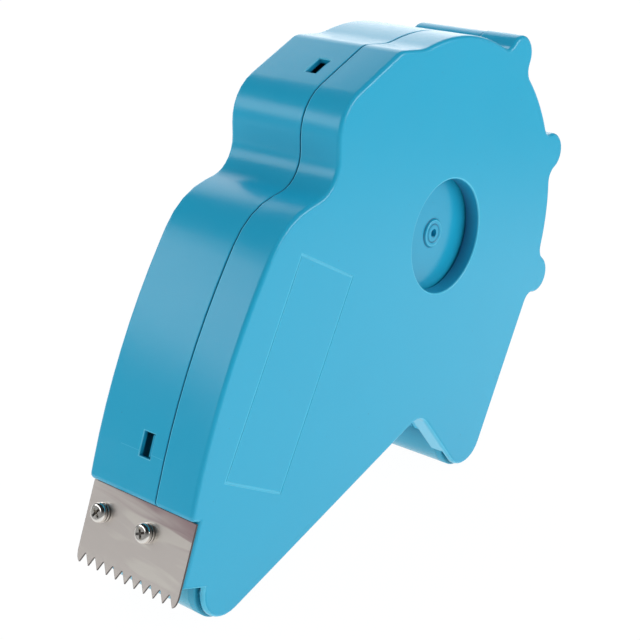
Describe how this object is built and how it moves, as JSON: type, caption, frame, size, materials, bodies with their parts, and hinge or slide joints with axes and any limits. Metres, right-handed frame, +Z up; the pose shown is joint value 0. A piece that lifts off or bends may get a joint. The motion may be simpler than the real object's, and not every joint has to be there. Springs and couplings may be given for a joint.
{
  "type": "masking tape applicator",
  "caption": "Hand-held tape applicator: a flat two-shell moulded case with a round hub window, a toothed cutting blade, and wide nose and heel rollers on its underside.",
  "frame": {"origin": "centre of the base, on the surface that the two rollers stand on", "axes": "+X from the blade towards the heel, +Y from the cover towards the main case, +Z up"},
  "size_m": [0.2636, 0.056, 0.204],
  "materials": {
    "case_blue": "satin moulded plastic with a fine grain",
    "hub_blue": "satin moulded plastic",
    "roller_blue": "smooth satin plastic",
    "stainless": "rolled sheet",
    "nickel": "bright nickel plate",
    "steel": "plain ground steel"
  },
  "bodies": {
    "case": {"main_case": "case_blue", "cutter_blade": "stainless", "blade_nut_plate": "steel", "blade_screw_near": "nickel", "blade_screw_far": "nickel", "spring_washer_near": "nickel", "spring_washer_far": "nickel", "nose_roller_axle": "steel", "heel_roller_axle": "steel"},
    "cover": {"side_cover": "case_blue", "snap_hook_front": "case_blue", "snap_hook_top": "case_blue"},
    "hub": {"tape_hub": "hub_blue"},
    "nose_roller_body": {"nose_roller": "roller_blue", "nose_roller_bush_near": "roller_blue", "nose_roller_bush_far": "roller_blue"},
    "heel_roller_body": {"heel_roller": "roller_blue", "heel_roller_bush_near": "roller_blue", "heel_roller_bush_far": "roller_blue"}
  },
  "joints": [
    {"name": "hub_spin", "type": "hinge", "parent": "case", "child": "hub", "pos_m": [0.03714, 0, 0.119], "axis": [0, 1, 0], "continuous": true},
    {"name": "nose_roller_spin", "type": "hinge", "parent": "case", "child": "nose_roller_body", "pos_m": [-0.10356, 0, 0.01475], "axis": [0, 1, 0], "continuous": true},
    {"name": "heel_roller_spin", "type": "hinge", "parent": "case", "child": "heel_roller_body", "pos_m": [0.05894, 0, 0.01475], "axis": [0, 1, 0], "continuous": true},
    {"name": "cover_off", "type": "slide", "parent": "case", "child": "cover", "axis": [0, -1, 0], "range_m": [0, 0.06], "deforming": ["snap_hook_front", "snap_hook_top"]}
  ]
}
